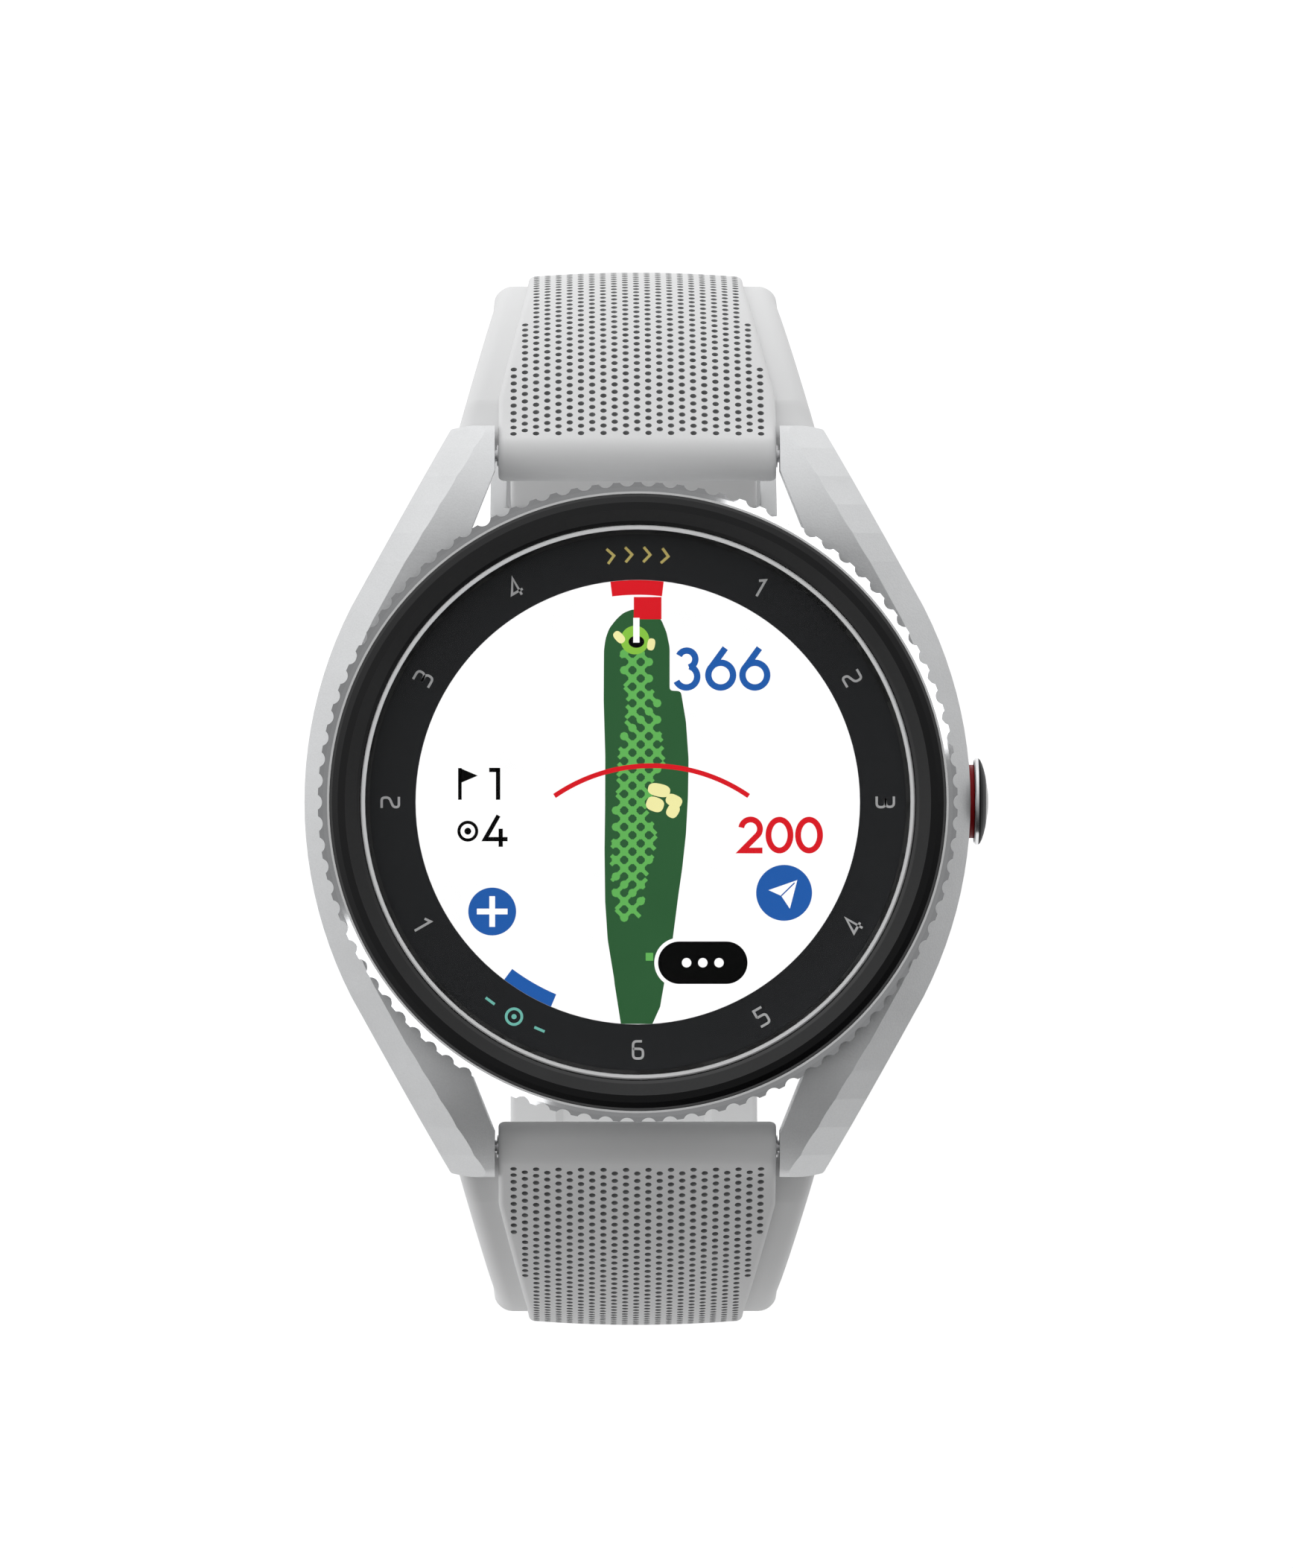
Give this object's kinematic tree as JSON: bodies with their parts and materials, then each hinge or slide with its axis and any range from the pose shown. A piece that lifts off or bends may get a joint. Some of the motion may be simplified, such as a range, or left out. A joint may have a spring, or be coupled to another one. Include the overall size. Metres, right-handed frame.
{
  "type": "golf gps watch",
  "caption": "Round golf distance watch: metal case with lugs, turning coin-edge bezel, push crown, glass over a round display, two-piece rubber strap with pin buckle.",
  "frame": {"origin": "centre of the case back's outer face, which rests on the wrist", "axes": "+Z out through the glass, +Y towards 12 o'clock, +X towards the crown at 3 o'clock"},
  "size_m": [0.048, 0.0758, 0.0658],
  "materials": {
    "case_metal": "bead blasted satin",
    "back_metal": "brushed",
    "polished_metal": "polished",
    "ceramic": "polished black",
    "crystal": "clear",
    "dial_print": "printed dark grey with grey numerals",
    "display": "lit screen",
    "board": "solder mask",
    "can_metal": "tinned",
    "black_plastic": "matte",
    "gold": "plated",
    "battery_foil": "foil",
    "spring_steel": "drawn wire",
    "red_enamel": "gloss",
    "seal_rubber": "matte",
    "strap_rubber": "soft matte"
  },
  "bodies": {
    "case": {"mid_case": "case_metal", "case_back": "back_metal", "back_gasket": "seal_rubber", "back_screws": "spring_steel", "contact_block": "black_plastic", "charge_contacts": "gold", "sensor_window": "ceramic", "sensor_board": "board", "cover_glass": "crystal", "trim_ring": "polished_metal", "glass_gasket": "seal_rubber", "dial_ring": "dial_print", "display_panel": "display", "display_bracket": "can_metal", "main_board": "board", "shield_cans": "can_metal", "chips": "black_plastic", "gps_antenna": "gold", "chassis": "black_plastic", "battery": "battery_foil", "vibration_motor": "can_metal", "buzzer": "black_plastic", "button_switch": "black_plastic", "spring_bars": "spring_steel", "crown_spring": "spring_steel"},
    "bezel": {"bezel_ring": "polished_metal", "bezel_insert": "ceramic", "bezel_retainer": "spring_steel"},
    "crown": {"crown_cap": "ceramic", "crown_ring": "red_enamel", "crown_stem": "spring_steel", "crown_seal": "seal_rubber", "crown_clip": "spring_steel"},
    "upper_strap": {"strap_upper": "strap_rubber", "keeper_fixed": "strap_rubber"},
    "loose_keeper": {"keeper_loose": "strap_rubber"},
    "lower_strap": {"strap_lower": "strap_rubber"},
    "buckle": {"buckle_frame": "case_metal", "buckle_bar": "spring_steel"},
    "tongue": {"buckle_tongue": "case_metal"}
  },
  "joints": [
    {"name": "bezel_turn", "type": "hinge", "parent": "case", "child": "bezel", "pos_m": [0, 0, 0.01], "axis": [0, 0, 1], "continuous": true},
    {"name": "crown_press", "type": "slide", "parent": "case", "child": "crown", "axis": [-1, 0, 0], "range_m": [0, 0.0003], "stiffness_N_per_m": 4000, "deforming": ["crown_spring"]},
    {"name": "upper_strap_swing", "type": "hinge", "parent": "case", "child": "upper_strap", "pos_m": [0, 0.02425, 0.0035], "axis": [1, 0, 0], "range_deg": [0, 60]},
    {"name": "lower_strap_swing", "type": "hinge", "parent": "case", "child": "lower_strap", "pos_m": [0, -0.02425, 0.0035], "axis": [-1, 0, 0], "range_deg": [0, 60]},
    {"name": "keeper_slide", "type": "hinge", "parent": "upper_strap", "child": "loose_keeper", "pos_m": [0, 0.00595, -0.02123], "axis": [-1, 0, 0], "range_deg": [-6, 8]},
    {"name": "buckle_swing", "type": "hinge", "parent": "upper_strap", "child": "buckle", "pos_m": [0, -0.002, -0.05061], "axis": [1, 0, 0], "range_deg": [0, 60]},
    {"name": "tongue_swing", "type": "hinge", "parent": "buckle", "child": "tongue", "pos_m": [0, -0.002, -0.05061], "axis": [1, 0, 0], "range_deg": [0, 65]}
  ]
}
